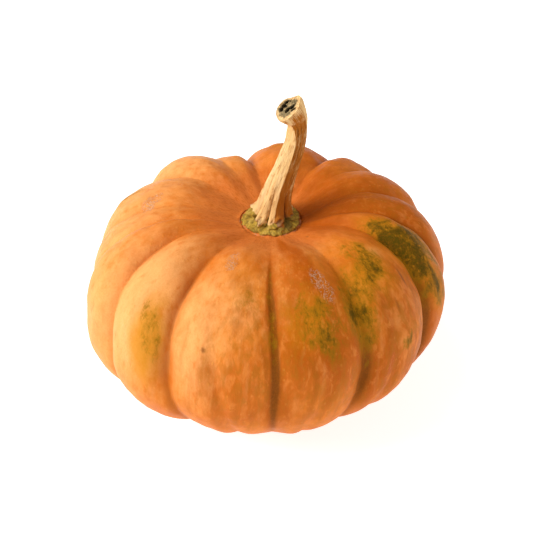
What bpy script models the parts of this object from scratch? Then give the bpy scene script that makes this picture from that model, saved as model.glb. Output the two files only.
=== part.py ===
"""A ribbed pumpkin with its dried stem, as two solids: the fruit and the stem.

Units are metres, +Z is up and the fruit's front is at -Y. The fruit is a UV sphere whose
rings follow a flattened meridian and whose columns follow the ribs, so that each furrow
runs along a column. The stem is a loft of ridged sections along a bent line, from a broad
foot on the fruit's flat seat to a cut end with a hollow in it.
"""

import math

import bmesh
import bpy
import numpy as np

# The fruit's meridian, from the middle height of the belly
FRUIT_RADIUS = 0.1298
SHOULDER_RISE = 0.0780
BELLY_DROP = 0.0760
ROUNDNESS_ABOVE = 2.60
ROUNDNESS_BELOW = 2.45
CAVITY_DEPTH = 0.0225
CAVITY_WIDTH = 0.050
CAVITY_SHAPE = 2.6
FLOOR_TRIM = 0.0014
UNDERSIDE_X = -0.0035

# The flat seat that the stem's foot stands on
SEAT_RADIUS = 0.0232
SEAT_X = 0.0048
SEAT_Y = -0.0032

# Furrows: azimuth near the shoulder, at the belly and on the underside, in degrees from the
# front (-Y) towards +X, the depth, and the swell of the rib that follows, both in metres
FURROWS = (
    (1.0, 3.5, 4.5, 0.0058, 0.0000),
    (34.0, 33.0, 29.0, 0.0105, 0.0000),
    (69.5, 64.0, 61.0, 0.0110, 0.0006),
    (86.0, 84.0, 84.0, 0.0065, 0.0004),
    (107.0, 107.0, 107.0, 0.0060, 0.0008),
    (130.0, 130.0, 130.0, 0.0040, 0.0000),
    (150.0, 150.0, 150.0, 0.0110, 0.0022),
    (188.5, 188.5, 188.5, 0.0150, -0.0060),
    (206.0, 206.0, 206.0, 0.0085, 0.0006),
    (230.0, 230.0, 230.0, 0.0105, -0.0040),
    (263.0, 263.0, 263.0, 0.0095, -0.0072),
    (281.0, 280.0, 280.0, 0.0100, 0.0010),
    (299.0, 302.5, 305.0, 0.0100, 0.0014),
    (327.0, 328.0, 333.5, 0.0115, 0.0000),
)
# The furrows grow from the stem end, and the last number is the part lost on the underside
FURROW_START = 0.04
FURROW_FULL = 0.32
FURROW_FADE = 0.60
PINCH = 0.70
# Shallow creases on the wide ribs: the rib's number, the place across it where the crease
# starts and where it ends, the depth, and the shares of the meridian at those two places
CREASES = (
    (0, 0.54, 0.42, 0.0012, 0.42, 0.75),
    (1, 0.36, 0.36, 0.0026, 0.30, 0.75),
    (13, 0.47, 0.62, 0.0024, 0.38, 0.75),
)
CREASE_HALF_WIDTH = 0.16
TOP_SHARE = 0.15
BELLY_SHARE = 0.48
UNDERSIDE_SHARE = 0.64
FLAT_START = 0.72
FLAT_END = 0.97
COLUMNS_PER_RIB = 8
RINGS = 44
SEAT_RINGS = 2

# The stem's line: offsets from the fruit's axis, height above the seat, section radius and
# how far the section is stretched sideways
STEM_LINE = (
    (0.0048, -0.0032, 0.0003, 0.0198, 1.00),
    (0.0048, -0.0032, 0.0014, 0.0212, 1.00),
    (0.0048, -0.0031, 0.0032, 0.0208, 1.00),
    (0.0049, -0.0027, 0.0046, 0.0182, 1.00),
    (0.0052, -0.0018, 0.0066, 0.0161, 1.00),
    (0.0062, -0.0008, 0.0115, 0.0137, 1.00),
    (0.0080, 0.0000, 0.0200, 0.0116, 1.00),
    (0.0113, 0.0000, 0.0325, 0.0101, 1.00),
    (0.0163, 0.0000, 0.0480, 0.0086, 1.00),
    (0.0205, 0.0000, 0.0630, 0.0077, 1.00),
    (0.0226, -0.0004, 0.0755, 0.0073, 1.00),
    (0.0212, -0.0018, 0.0830, 0.0076, 1.06),
    (0.0184, -0.0044, 0.0886, 0.0075, 1.22),
    (0.0156, -0.0070, 0.0926, 0.0068, 1.42),
)
STEM_RINGS = 46
STEM_SEGMENTS = 42
# Azimuths of the furrows between the roots of the foot, and of one of the stem's five angles
ROOT_FURROWS = (-56.0, -14.0, 44.0, 98.0, 152.0, 205.0, 258.0)
ROOT_DEPTH = 0.22
ROOT_REACH = 0.026
ANGLED_DEPTH = 0.11
ANGLED_START = 2.0
COLLAR_WAVE = 0.03
CUT_NORMAL = (-0.55, -0.60, 0.58)
CUT_KNOTS = 3.0
PITH_DEPTH = 0.0035
PITH_SHARE = 0.72
PITH_TAPER = 0.85

# Brings the middle of the pumpkin's box onto the Z axis
CENTRING_X = -0.0020
CENTRING_Y = -0.0011


def smoothstep(low, high, value):
    share = np.clip((value - low) / (high - low), 0.0, 1.0)
    return share * share * (3.0 - 2.0 * share)


def meridian(share):
    """Radius, height and outward normal at these shares of the way from stem end to blossom end."""
    polar = np.linspace(0.0, math.pi, 1441)
    sine, cosine = np.sin(polar), np.cos(polar)
    above = cosine > 0.0
    power = np.where(above, 2.0 / ROUNDNESS_ABOVE, 2.0 / ROUNDNESS_BELOW)
    rise = np.where(above, SHOULDER_RISE, -BELLY_DROP)
    radius = FRUIT_RADIUS * np.maximum(sine, 0.0) ** power
    height = rise * np.abs(cosine) ** power
    height = height - CAVITY_DEPTH * np.exp(-((radius / CAVITY_WIDTH) ** CAVITY_SHAPE)) * above
    run = np.concatenate([[0.0], np.cumsum(np.hypot(np.diff(radius), np.diff(height)))])
    run /= run[-1]
    along = np.maximum(np.hypot(np.gradient(radius), np.gradient(height)), 1e-9)
    outward = -np.gradient(height) / along
    upward = np.gradient(radius) / along
    return [np.interp(share, run, column) for column in (radius, height, outward, upward)]


def rib_azimuth(place, share):
    """Azimuth in degrees of this place among the ribs (0 is the first furrow, 1 the next)."""
    stops = np.array(FURROWS)[:, :3]
    stops = np.vstack([stops, stops[:1] + 360.0])
    top, belly, underside = (np.interp(place, range(len(stops)), column) for column in stops.T)
    upper = smoothstep(TOP_SHARE, BELLY_SHARE, share)
    lower = smoothstep(BELLY_SHARE, UNDERSIDE_SHARE, share)
    return top + (belly - top) * upper + (underside - belly) * lower


def furrow_cut(place, share):
    """How far the skin lies below the crest line, in metres."""
    rib = np.floor(place).astype(int) % len(FURROWS)
    across = 2.0 * (place - np.floor(place)) - 1.0
    depths = np.array([furrow[3] for furrow in FURROWS])
    swells = np.array([furrow[4] for furrow in FURROWS])
    depth = np.where(across < 0.0, depths[rib], depths[(rib + 1) % len(FURROWS)])
    pinched = (1.0 - across**2) ** PINCH
    soft = np.cos(across * math.pi / 2) ** 2
    arch = soft + (pinched - soft) * smoothstep(0.08, 0.30, share)
    fade = smoothstep(FURROW_START, FURROW_FULL, share)
    fade *= 1.0 - FURROW_FADE * smoothstep(BELLY_SHARE, UNDERSIDE_SHARE, share)
    fade *= 1.0 - smoothstep(FLAT_START, FLAT_END, share)
    cut = (depth * (1.0 - arch) - swells[rib] * arch) * fade
    for number, upper, lower, crease, start, end in CREASES:
        middle = number + upper + (lower - upper) * smoothstep(start, end, share)
        off = np.abs(place - middle) / CREASE_HALF_WIDTH
        window = smoothstep(start - 0.10, start + 0.10, share) * (1.0 - smoothstep(end, end + 0.15, share))
        cut = cut + crease * np.clip(1.0 - off, 0.0, 1.0) ** 2 * window
    return cut


def skin(place, share):
    """The skin's points, for these places among the ribs and shares of the meridian."""
    radius, height, outward, upward = meridian(share)
    cut = furrow_cut(place, share)
    radius = radius - cut * outward
    height = height - cut * upward
    turn = np.radians(rib_azimuth(place, share))
    sway = 1.0 - smoothstep(0.0, 0.40, share)
    across = radius * np.sin(turn) + SEAT_X * sway + UNDERSIDE_X * smoothstep(0.45, 0.62, share)
    back = SEAT_Y * sway - radius * np.cos(turn)
    return np.stack([across, back, height], axis=-1)


def seat_height():
    return SHOULDER_RISE - CAVITY_DEPTH + 0.0006


def spline(knots, spots):
    """Catmull-Rom points at these spots (0 is the first knot, 1 the second) of a line of knots."""
    knots = np.asarray(knots, float)
    padded = np.vstack([2 * knots[0] - knots[1], knots, 2 * knots[-1] - knots[-2]])
    first = np.clip(np.floor(spots).astype(int), 0, len(knots) - 2)
    part = (spots - first)[:, None]
    a, b, c, d = (padded[first + step] for step in range(4))
    return 0.5 * (
        2 * b + (c - a) * part + (2 * a - 5 * b + 4 * c - d) * part**2 + (3 * b - a - 3 * c + d) * part**3
    )


def stem_section(azimuth, height):
    """The section's radius as a share of the stem's radius there, for azimuths in degrees."""
    starts = np.array(ROOT_FURROWS)
    spans = np.diff(np.append(starts, starts[0] + 360.0))
    turned = (azimuth - starts[0]) % 360.0
    edges = np.append(0.0, np.cumsum(spans))
    rib = np.clip(np.searchsorted(edges, turned, side="right") - 1, 0, len(spans) - 1)
    across = 2.0 * (turned - edges[rib]) / spans[rib] - 1.0
    roots = 1.0 - (1.0 - across**2) ** 0.75
    fifth = np.radians((azimuth - ANGLED_START + 36.0) % 72.0 - 36.0)
    corner = math.cos(math.pi / 5)
    angled = (1.0 - corner / np.cos(math.pi / 5 - np.abs(fifth))) / (1.0 - corner)
    turn = np.radians(azimuth)
    wave = np.sin(3.0 * turn + 0.6) + 0.7 * np.sin(5.0 * turn + 2.1)
    above = smoothstep(0.0030, 0.0058, height)
    low = np.exp(-((height / ROOT_REACH) ** 2)) * above
    hollows = ROOT_DEPTH * low * roots + ANGLED_DEPTH * (above - low) * angled
    return 1.0 - hollows + COLLAR_WAVE * wave * (1.0 - above)


def stem_points(rings, segments):
    """Rings of points from the foot's underside to the cut end, its rim and its hollow."""
    knots = np.array(STEM_LINE)
    spots = np.linspace(0.0, len(knots) - 1.0, rings)
    line = spline(knots, spots)
    centre, size, stretch = line[:, :3], line[:, 3:4], line[:, 4:5]
    along = np.gradient(centre, axis=0)
    along /= np.linalg.norm(along, axis=1)[:, None]
    cut = np.array(CUT_NORMAL) / np.linalg.norm(CUT_NORMAL)
    end = smoothstep(len(knots) - 1.0 - CUT_KNOTS, len(knots) - 1.0, spots)[:, None]
    foot = smoothstep(0.004, 0.020, centre[:, 2:3])
    normal = along * foot + np.array([0.0, 0.0, 1.0]) * (1.0 - foot)
    normal = normal * (1.0 - end) + cut * end
    normal /= np.linalg.norm(normal, axis=1)[:, None]
    front = np.array([0.0, -1.0, 0.0]) + normal[:, 1:2] * normal
    front /= np.linalg.norm(front, axis=1)[:, None]
    right = np.cross(normal, front)
    azimuth = np.arange(segments) * 360.0 / segments
    turn = np.radians(azimuth)
    reach = np.array([stem_section(azimuth, height) for height in centre[:, 2]]) * size
    forward = (reach * np.cos(turn))[..., None] * front[:, None]
    sideways = (reach * np.sin(turn) * stretch)[..., None] * right[:, None]
    side = centre[:, None] + forward + sideways
    middle = side[-1].mean(axis=0)
    rim = middle + (side[-1] - middle) * PITH_SHARE
    hollow = middle + (rim - middle) * PITH_TAPER - cut * PITH_DEPTH
    core = np.tile(hollow.mean(axis=0), (segments, 1))
    return np.concatenate([side, rim[None], hollow[None], core[None]])


def make_fruit(collection):
    """A UV sphere with its vertices moved onto the skin, the seat and the floor."""
    columns = len(FURROWS) * COLUMNS_PER_RIB
    ball = bmesh.new()
    bmesh.ops.create_uvsphere(ball, u_segments=columns, v_segments=RINGS, radius=1.0)
    start = np.array([vertex.co for vertex in ball.verts])
    turn = np.arctan2(start[:, 1], start[:, 0]) % (2 * math.pi)
    column = np.rint(turn / (2 * math.pi) * columns) % columns
    share = np.arccos(np.clip(start[:, 2], -1.0, 1.0)) / math.pi
    place = column / COLUMNS_PER_RIB
    points = skin(place, share)
    ring = np.rint(share * RINGS)
    seat = ring <= SEAT_RINGS
    azimuth = np.radians(rib_azimuth(place, share))[seat]
    reach = SEAT_RADIUS * ring[seat] / SEAT_RINGS
    points[seat, 0] = SEAT_X + reach * np.sin(azimuth)
    points[seat, 1] = SEAT_Y - reach * np.cos(azimuth)
    points[seat, 2] = seat_height()
    points[:, 2] = np.maximum(points[:, 2], FLOOR_TRIM - BELLY_DROP)
    points[:, 2] += BELLY_DROP - FLOOR_TRIM
    for vertex, point in zip(ball.verts, points):
        vertex.co = point
    return finish("fruit", ball, collection)


def make_stem(collection):
    """Rings of points joined by quads, from the flat underside to the hollow of the cut end."""
    rings = stem_points(STEM_RINGS, STEM_SEGMENTS)
    rings[..., 2] += seat_height() + BELLY_DROP - FLOOR_TRIM
    mesh = bmesh.new()
    loops = [[mesh.verts.new(point) for point in ring] for ring in rings[:-1]]
    for lower, upper in zip(loops, loops[1:]):
        for spot in range(STEM_SEGMENTS):
            after = (spot + 1) % STEM_SEGMENTS
            mesh.faces.new((lower[spot], lower[after], upper[after], upper[spot]))
    mesh.faces.new(loops[0][::-1])
    core = mesh.verts.new(rings[-1][0])
    for spot in range(STEM_SEGMENTS):
        mesh.faces.new((loops[-1][spot], loops[-1][(spot + 1) % STEM_SEGMENTS], core))
    return finish("stem", mesh, collection)


def finish(name, shape, collection):
    """Makes the object, moved so that the whole pumpkin's box is centred on X = 0 and Y = 0."""
    bmesh.ops.recalc_face_normals(shape, faces=shape.faces)
    bmesh.ops.translate(shape, verts=shape.verts, vec=(CENTRING_X, CENTRING_Y, 0.0))
    mesh = bpy.data.meshes.new(name)
    shape.to_mesh(mesh)
    shape.free()
    made = bpy.data.objects.new(name, mesh)
    collection.objects.link(made)
    mesh.shade_smooth()
    return made


def paint(made, name, colour, roughness):
    material = bpy.data.materials.new(name)
    material.use_nodes = True
    surface = material.node_tree.nodes["Principled BSDF"]
    surface.inputs["Base Color"].default_value = (*colour, 1.0)
    surface.inputs["Roughness"].default_value = roughness
    surface.inputs["Metallic"].default_value = 0.0
    made.data.materials.append(material)


def main():
    for item in list(bpy.data.objects):
        bpy.data.objects.remove(item)
    collection = bpy.data.collections.new("pumpkin")
    bpy.context.scene.collection.children.link(collection)
    paint(make_fruit(collection), "rind", (0.80, 0.27, 0.06), 0.45)
    paint(make_stem(collection), "dry stem", (0.60, 0.36, 0.15), 0.80)


main()
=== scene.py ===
"""Looks of a ribbed pumpkin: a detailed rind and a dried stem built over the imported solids.

Units are metres, +Z is up and the fruit's front is at -Y. The rind and the stem are grids of
points on the CAD's own formulas, with the fine relief added. What the materials need to know
of a place (furrow, green patch, scar, cut end) rides on the meshes as point attributes.
"""

import math

import bpy
import numpy as np
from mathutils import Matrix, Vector


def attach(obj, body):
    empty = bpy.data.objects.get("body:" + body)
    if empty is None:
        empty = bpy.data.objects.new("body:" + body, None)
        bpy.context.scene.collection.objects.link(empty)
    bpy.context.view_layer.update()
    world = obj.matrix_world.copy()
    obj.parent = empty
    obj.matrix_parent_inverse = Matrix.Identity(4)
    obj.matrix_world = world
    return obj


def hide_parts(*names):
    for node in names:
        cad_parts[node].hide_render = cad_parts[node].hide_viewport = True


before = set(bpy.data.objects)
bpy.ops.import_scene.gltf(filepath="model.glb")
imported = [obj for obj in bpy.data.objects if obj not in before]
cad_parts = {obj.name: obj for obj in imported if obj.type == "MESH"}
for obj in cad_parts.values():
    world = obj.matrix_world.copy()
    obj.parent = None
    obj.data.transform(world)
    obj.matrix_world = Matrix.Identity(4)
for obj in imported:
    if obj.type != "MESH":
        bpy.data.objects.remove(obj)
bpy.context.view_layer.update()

# ---- the shared shape

# The same numbers as in the CAD, but for the depths and the twist of the stem's ridges and for
# its head, which follow the photo more closely here
FRUIT_RADIUS = 0.1298
SHOULDER_RISE = 0.078
BELLY_DROP = 0.076
ROUNDNESS_ABOVE = 2.6
ROUNDNESS_BELOW = 2.45
CAVITY_DEPTH = 0.0225
CAVITY_WIDTH = 0.05
CAVITY_SHAPE = 2.6
FLOOR_TRIM = 0.0014
UNDERSIDE_X = -0.0035
SEAT_RADIUS = 0.0232
SEAT_X = 0.0048
SEAT_Y = -0.0032
SEAT_LIFT = 0.0006
SEAT_SHARE = 0.0455
SEAT_BLEND = 1.6
MERIDIAN_STEPS = 1441
# Furrows: azimuth near the shoulder, at the belly and on the underside, in degrees from the
# front (-Y) towards +X, the depth, and the swell of the rib that follows, both in metres
FURROWS = (
    (1, 3.5, 4.5, 0.0058, 0),
    (34, 33, 29, 0.0105, 0),
    (69.5, 64, 61, 0.011, 0.0006),
    (86, 84, 84, 0.0065, 0.0004),
    (107, 107, 107, 0.006, 0.0008),
    (130, 130, 130, 0.004, 0),
    (150, 150, 150, 0.011, 0.0022),
    (188.5, 188.5, 188.5, 0.015, -0.006),
    (206, 206, 206, 0.0085, 0.0006),
    (230, 230, 230, 0.0105, -0.004),
    (263, 263, 263, 0.0095, -0.0072),
    (281, 280, 280, 0.01, 0.001),
    (299, 302.5, 305, 0.01, 0.0014),
    (327, 328, 333.5, 0.0115, 0),
)
FURROW_START = 0.04
FURROW_FULL = 0.32
FURROW_FADE = 0.6
PINCH = 0.7
PINCH_ZONE = (0.08, 0.3)
FURROW_ROUNDING = 0.035
# Shallow creases: rib, place across it at the start and at the end, depth, shares of the two
CREASES = (
    (0, 0.54, 0.42, 0.0012, 0.42, 0.75),
    (1, 0.36, 0.36, 0.0026, 0.3, 0.75),
    (13, 0.47, 0.62, 0.0024, 0.38, 0.75),
)
CREASE_HALF_WIDTH = 0.16
CREASE_FADE_IN = 0.1
CREASE_FADE_OUT = 0.15
TOP_SHARE = 0.15
BELLY_SHARE = 0.48
UNDERSIDE_SHARE = 0.64
FLAT_START = 0.72
FLAT_END = 0.97
# Shares where the skin is centred on the seat, and where it moves over the blossom end
SEAT_SWAY = (0.0, 0.4)
UNDERSIDE_SWAY = (0.45, 0.62)
# The stem's line: offsets, height above the seat, section radius and sideways stretch
STEM_LINE = (
    (0.0048, -0.0032, 0.0003, 0.0198, 1),
    (0.0048, -0.0032, 0.0014, 0.0212, 1),
    (0.0048, -0.0031, 0.0032, 0.0208, 1),
    (0.0049, -0.0027, 0.0046, 0.0182, 1),
    (0.0052, -0.0018, 0.0066, 0.0161, 1),
    (0.0062, -0.0008, 0.0115, 0.0137, 1),
    (0.008, 0, 0.02, 0.0116, 1),
    (0.0113, 0, 0.0325, 0.0101, 1),
    (0.0163, 0, 0.048, 0.0086, 1),
    (0.0205, 0, 0.063, 0.0077, 1),
    (0.0226, -0.0004, 0.0755, 0.0073, 1),
    (0.0212, -0.0018, 0.083, 0.0076, 1.06),
    (0.0184, -0.0044, 0.0886, 0.0075, 1.22),
    (0.0156, -0.007, 0.0926, 0.0068, 1.42),
)
# The roots: azimuths of the furrows between them, and their depth, reach and shape. Each zone
# on the stem is a pair of heights above the seat
ROOT_FURROWS = (-56.0, -14.0, 44.0, 98.0, 152.0, 205.0, 258.0)
ROOT_DEPTH = 0.17
ROOT_REACH = 0.026
ROOT_ROUNDNESS = 0.75
ROOT_ZONE = (0.003, 0.0058)
# The ridges above the roots: depths on the stalk and on its head, azimuth of the front one
ANGLED_DEPTH = 0.15
HEAD_ANGLED_DEPTH = 0.05
ANGLED_START = 2.0
RIDGE_ANGLES = 5
RIDGE_TWIST = -38.0
TWIST_ZONE = (0.06, 0.086)
FOOT_ZONE = (0.004, 0.02)
HEAD_ZONE = (0.08, 0.092)
HEAD_SMOOTH_ZONE = (0.08, 0.091)
# Corners of the head: azimuth, swell as a share of the radius, and half width in degrees
HEAD_CORNERS = (
    (-62, 0.18, 38),
    (-138, 0.12, 28),
    (97, 0.22, 20),
    (140, -0.08, 22),
)
# Waves of the collar's outline: size as a share of its radius, how many round, and turn
COLLAR_WAVES = ((0.03, 3.0, 0.6), (0.021, 5.0, 2.1))
CUT_NORMAL = (-0.55, -0.6, 0.58)
CUT_KNOTS = 3.0
CENTRING = (-0.002, -0.0011, 0.0)

# ---- how fine the meshes are

RIND_RINGS = 250
COLUMNS_PER_DEGREE = 0.98
COLUMN_CROWDING = 0.45
STEM_RINGS = 330
STEM_SEGMENTS = 210
CUT_RINGS = 60

# ---- marks on the rind

MARK_SHARPNESS = 0.7
# Each mark: azimuth in degrees, share of the meridian from stem to blossom end, half width in
# degrees, half length in shares, strength
GREEN_MARKS = (
    (71.5, 0.265, 4, 0.045, 1.15),
    (68.5, 0.335, 4, 0.055, 0.75),
    (72, 0.4, 6, 0.07, 0.45),
    (78, 0.32, 4, 0.06, 0.6),
    (70, 0.395, 3.4, 0.05, 0.42),
    (49, 0.283, 3.6, 0.026, 0.95),
    (44.5, 0.245, 4, 0.03, 0.6),
    (50.5, 0.24, 4, 0.02, 0.35),
    (45, 0.33, 5, 0.03, 0.35),
    (36.5, 0.33, 3, 0.055, 0.8),
    (31, 0.35, 2.2, 0.05, 0.95),
    (35, 0.43, 2.6, 0.06, 0.5),
    (13, 0.33, 2.6, 0.05, 0.55),
    (20.5, 0.34, 2.6, 0.05, 0.62),
    (18.5, 0.405, 3.4, 0.03, 0.5),
    (24.5, 0.375, 2, 0.045, 0.45),
    (49, 0.46, 2.4, 0.02, 0.55),
    (-8, 0.3, 7, 0.06, 0.2),
    (-3, 0.4, 5, 0.08, 0.1),
    (-41, 0.372, 3, 0.022, 0.34),
    (-37.5, 0.415, 2.4, 0.035, 0.4),
    (-36, 0.47, 3, 0.04, 0.2),
    (1.4, 0.26, 1.1, 0.05, 0.3),
    (2.6, 0.35, 1.2, 0.055, 0.34),
    (3.3, 0.43, 1.2, 0.055, 0.16),
    (176, 0.33, 6, 0.06, 0.65),
    (158, 0.42, 5, 0.06, 0.45),
    (246, 0.36, 5, 0.055, 0.5),
)
SCAR_MARKS = (
    (21.5, 0.262, 2.8, 0.022, 1),
    (24, 0.3, 2.6, 0.026, 0.9),
    (-19.5, 0.205, 4, 0.024, 0.75),
    (-18, 0.232, 3, 0.012, 0.6),
    (-99, 0.262, 5, 0.016, 1),
    (-104, 0.24, 3, 0.01, 0.9),
    (-118, 0.27, 5, 0.02, 0.4),
    (205, 0.4, 4, 0.03, 0.6),
    (112, 0.36, 3, 0.024, 0.55),
)
# Rind that is ripening: a soft yellow olive under the green and around it
OLIVE_MARKS = (
    (-38.5, 0.43, 4.6, 0.08, 1.1),
    (-9, 0.28, 8, 0.06, 0.32),
    (15, 0.34, 9, 0.07, 0.55),
    (34, 0.36, 5, 0.09, 0.7),
    (47, 0.28, 8, 0.06, 0.75),
    (72, 0.33, 8, 0.12, 0.85),
    (176, 0.33, 8, 0.08, 0.7),
    (246, 0.36, 7, 0.07, 0.6),
)
# Paler, yellower rind: partly its own paler colour, partly a painted highlight and sheen on the
# lit left side; the side it lay on is paler too
PALE_AND_SHEEN_MARKS = (
    (-2, 0.14, 26, 0.06, 0.3),
    (-8, 0.32, 6, 0.06, 0.45),
    (-22, 0.46, 7, 0.12, 0.25),
    (46, 0.42, 5, 0.08, 0.45),
    (57, 0.4, 3, 0.08, 0.35),
    # painted highlight and sheen on the lit left side, in this and the next two marks
    (-92, 0.5, 44, 0.24, 1),
    (-47, 0.34, 10, 0.12, 0.95),
    (-22, 0.34, 8, 0.12, 0.55),
    (6, 0.3, 8, 0.08, 0.35),
    (30, 0.16, 18, 0.05, 0.35),
    (54, 0.27, 3, 0.02, 0.6),
    (215, 0.3, 34, 0.14, 0.6),
    (200, 0.55, 40, 0.14, 0.55),
)
# Darker, duskier rind: partly its own deeper tone, partly painted shade, namely the stem's painted
# shadow beside it, darker rind low on the right and narrow marks along the furrows, which also
# deepen their painted shadow lines
DUSKY_AND_SHADE_MARKS = (
    (13, 0.3, 10, 0.1, 0.5),
    (10.5, 0.38, 2.2, 0.08, 0.6),
    (23, 0.42, 9, 0.12, 0.35),
    (21, 0.4, 3, 0.09, 0.6),
    (42, 0.46, 2, 0.09, 0.6),
    (11, 0.13, 3.4, 0.05, 1.2),
    (18, 0.21, 3.6, 0.05, 1.3),
    (-2, 0.58, 26, 0.1, 0.4),
    # painted shade low on the right, then the stem's painted shadow and the shade beside it
    (54, 0.54, 20, 0.09, 0.55),
    (92, 0.1, 28, 0.06, 1.4),
    (58, 0.12, 22, 0.05, 0.35),
    (96, 0.26, 14, 0.1, 0.6),
    (48, 0.36, 14, 0.1, 0.3),
    # narrow marks along the furrows, from here to azimuth -14.5: painted shade in them
    (31, 0.36, 2.6, 0.07, 1.1),
    (34.5, 0.5, 3, 0.09, 0.8),
    (65, 0.42, 2.6, 0.12, 1.2),
    (84.5, 0.38, 3, 0.14, 0.9),
    (1, 0.26, 1, 0.07, 1.3),
    (3.1, 0.41, 1.1, 0.12, 2),
    (6, 0.5, 2.6, 0.1, 0.5),
    (-18.5, 0.38, 1.4, 0.07, 0.45),
    (-14.5, 0.5, 1.4, 0.08, 0.32),
    (126, 0.16, 24, 0.07, 0.5),
    (150, 0.3, 30, 0.16, 0.45),
    (230, 0.2, 20, 0.08, 0.3),
)
# Where the rind is streaked from top to bottom
STREAK_MARKS = (
    (18, 0.42, 22, 0.14, 0.9),
    (48, 0.42, 14, 0.14, 0.9),
    (-16, 0.5, 12, 0.1, 0.25),
    (-6, 0.44, 6, 0.14, 0.42),
    (90, 0.3, 14, 0.12, 0.6),
    (130, 0.4, 26, 0.16, 0.55),
    (185, 0.45, 26, 0.14, 0.45),
    (250, 0.42, 26, 0.12, 0.25),
)
SCRATCHES = (
    (56.5, 0.352, 0.5, 0.03, 0.8),
    (48, 0.385, 0.4, 0.018, 0.6),
    (-18.5, 0.41, 0.7, 0.006, 0.9),
    (43, 0.11, 1.6, 0.004, 0.6),
    (140, 0.33, 0.5, 0.04, 0.6),
)
# The layers that are sums of marks
RIND_MARKS = {
    "green": GREEN_MARKS,
    "scar": SCAR_MARKS,
    "scratch": SCRATCHES,
    "pale_and_sheen": PALE_AND_SHEEN_MARKS,
    "dusky_and_shade": DUSKY_AND_SHADE_MARKS,
    "olive": OLIVE_MARKS,
    "streaked": STREAK_MARKS,
}
# The skin's coordinates for patterns: the length of a meridian, and how wide its middle opens
MERIDIAN_LENGTH = 0.39
GRAIN_CORE = 0.045
# The furrows' painted shade, a dark line in the bottom and a softer shade up the sides, stronger
# in deeper furrows: half widths in metres, the side shade's strength, that of the shallowest
# furrow, and the shares where both begin and fade
FURROW_LINE = 0.006
FURROW_REACH = 0.012
FURROW_SIDES = 0.45
FURROW_LEAST = 0.45
FURROW_BEGINS = (0.1, 0.34)
FURROW_PALES = (0.55, 0.8)
FURROW_PALING = 0.7
CREASE_DEEPEST = 0.0026
STEM_END_ZONE = (0.08, 0.24)
CONTACT_ZONE = (0.68, 0.94)

# ---- relief on the rind

# Each set of lumps: height and wavelength in metres, and seed
RIND_LUMPS = ((0.0003, 0.034, 11), (0.00008, 0.011, 12))
RIND_LONG_LUMPS = ((0.00016, 0.014, 13),)
LONG_LUMP_STRETCH = (1.0, 1.0, 0.35)
LUMPS_BEGIN = (0.07, 0.16)
LUMPS_END = (0.8, 0.95)
SCAR_LUMPS = ((0.5, 0.0035, 14),)
SCAR_LEVEL = 0.5
SCAR_RISE = 0.00035
SCRATCH_DEPTH = 0.0006
# The sides swell past the CAD's by this much, to meet the photo's outline
BELLY_SWELL = 0.0013
# The rind's lip round the collar, and the pale fringe on it
LIP_RADIUS = 0.0196
LIP_RISE = 0.0014
LIP_WIDTH = 0.0028
LIP_LUMPS = ((0.5, 0.006, 16),)
COLLAR_LUMPS = ((0.0003, 0.007, 17),)
FRINGE_RADIUS = 0.0206
FRINGE_WIDTH = 0.0009
# The blossom end: a dimple with a corky scar and a ring round it
DIMPLE_RADIUS = 0.017
DIMPLE_DEPTH = 0.0045
BLOSSOM_SCAR = 0.0065
BLOSSOM_EDGE = (0.6, 1.3)
BLOSSOM_RING = 1.6
BLOSSOM_RING_WIDTH = 0.45

# ---- marks on the stem

# How much the collar is slimmer than the CAD's, below which heights, and its lower edge, darkened
# with painted shade
COLLAR_SHRINK = 0.05
COLLAR_SHRINK_ZONE = (0.006, 0.003)
LOW_EDGE_ZONE = (0.0006, 0.003)
# The collar's skirt, sunk into the rind
SKIRT_DEPTH = 0.001
SKIRT_HEIGHT = 0.002
# Height and softness of the collar's upper edge, and where it rises: azimuth, width, rise
COLLAR_EDGE = 0.0046
COLLAR_SOFTNESS = 0.0022
EDGE_LUMPS = ((0.0009, 0.005, 21),)
COLLAR_RISES = (
    (-78, 22, 0.0042),
    (-14, 8, 0.0018),
    (44, 10, 0.0026),
    (78, 16, 0.0034),
    (150, 20, 0.0016),
    (215, 18, 0.0022),
)
# Painted shade in the hollows between the collar and the roots, in the same terms as the brown
# sides
COLLAR_HOLLOW_SHADES = (
    (42, 0.0075, 13, 0.004, 1.3),
    (98, 0.007, 10, 0.003, 0.9),
    (-14, 0.0065, 5, 0.002, 0.8),
    (-56, 0.0075, 5, 0.002, 0.7),
    (152, 0.007, 9, 0.003, 0.9),
    (205, 0.007, 9, 0.003, 0.9),
    (258, 0.007, 9, 0.003, 0.9),
)
# The face right of the front ridge, turned from the light, is darker: partly browner dried bark,
# partly painted shade.
# How brown it is and how much less so at the head, and the degrees past the ridge where it starts
# and ends
BROWN_AND_SHADED_FACE = 0.8
SHADED_FACE_START = (-3.0, 6.0)
SHADED_FACE_END = (78.0, 112.0)
HEAD_PALER = 0.6
HEAD_PALER_ZONE = (0.08, 0.088)
# Other brown sides, some of them painted shade (right of the front roots, and under the head's
# overhang): azimuth, height, half width, half height, strength
BROWN_AND_SHADED_SIDES = (
    # painted shade right of the front ridge at its foot, in this and the next mark
    (22, 0.02, 12, 0.018, 0.7),
    (42, 0.01, 12, 0.008, 0.9),
    # painted shadow under the head's overhang, in this and the next mark
    (-10, 0.08, 22, 0.006, 0.45),
    (16, 0.088, 20, 0.003, 0.45),
    (170, 0.035, 14, 0.04, 0.8),
    (242, 0.04, 12, 0.04, 0.55),
)
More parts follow.
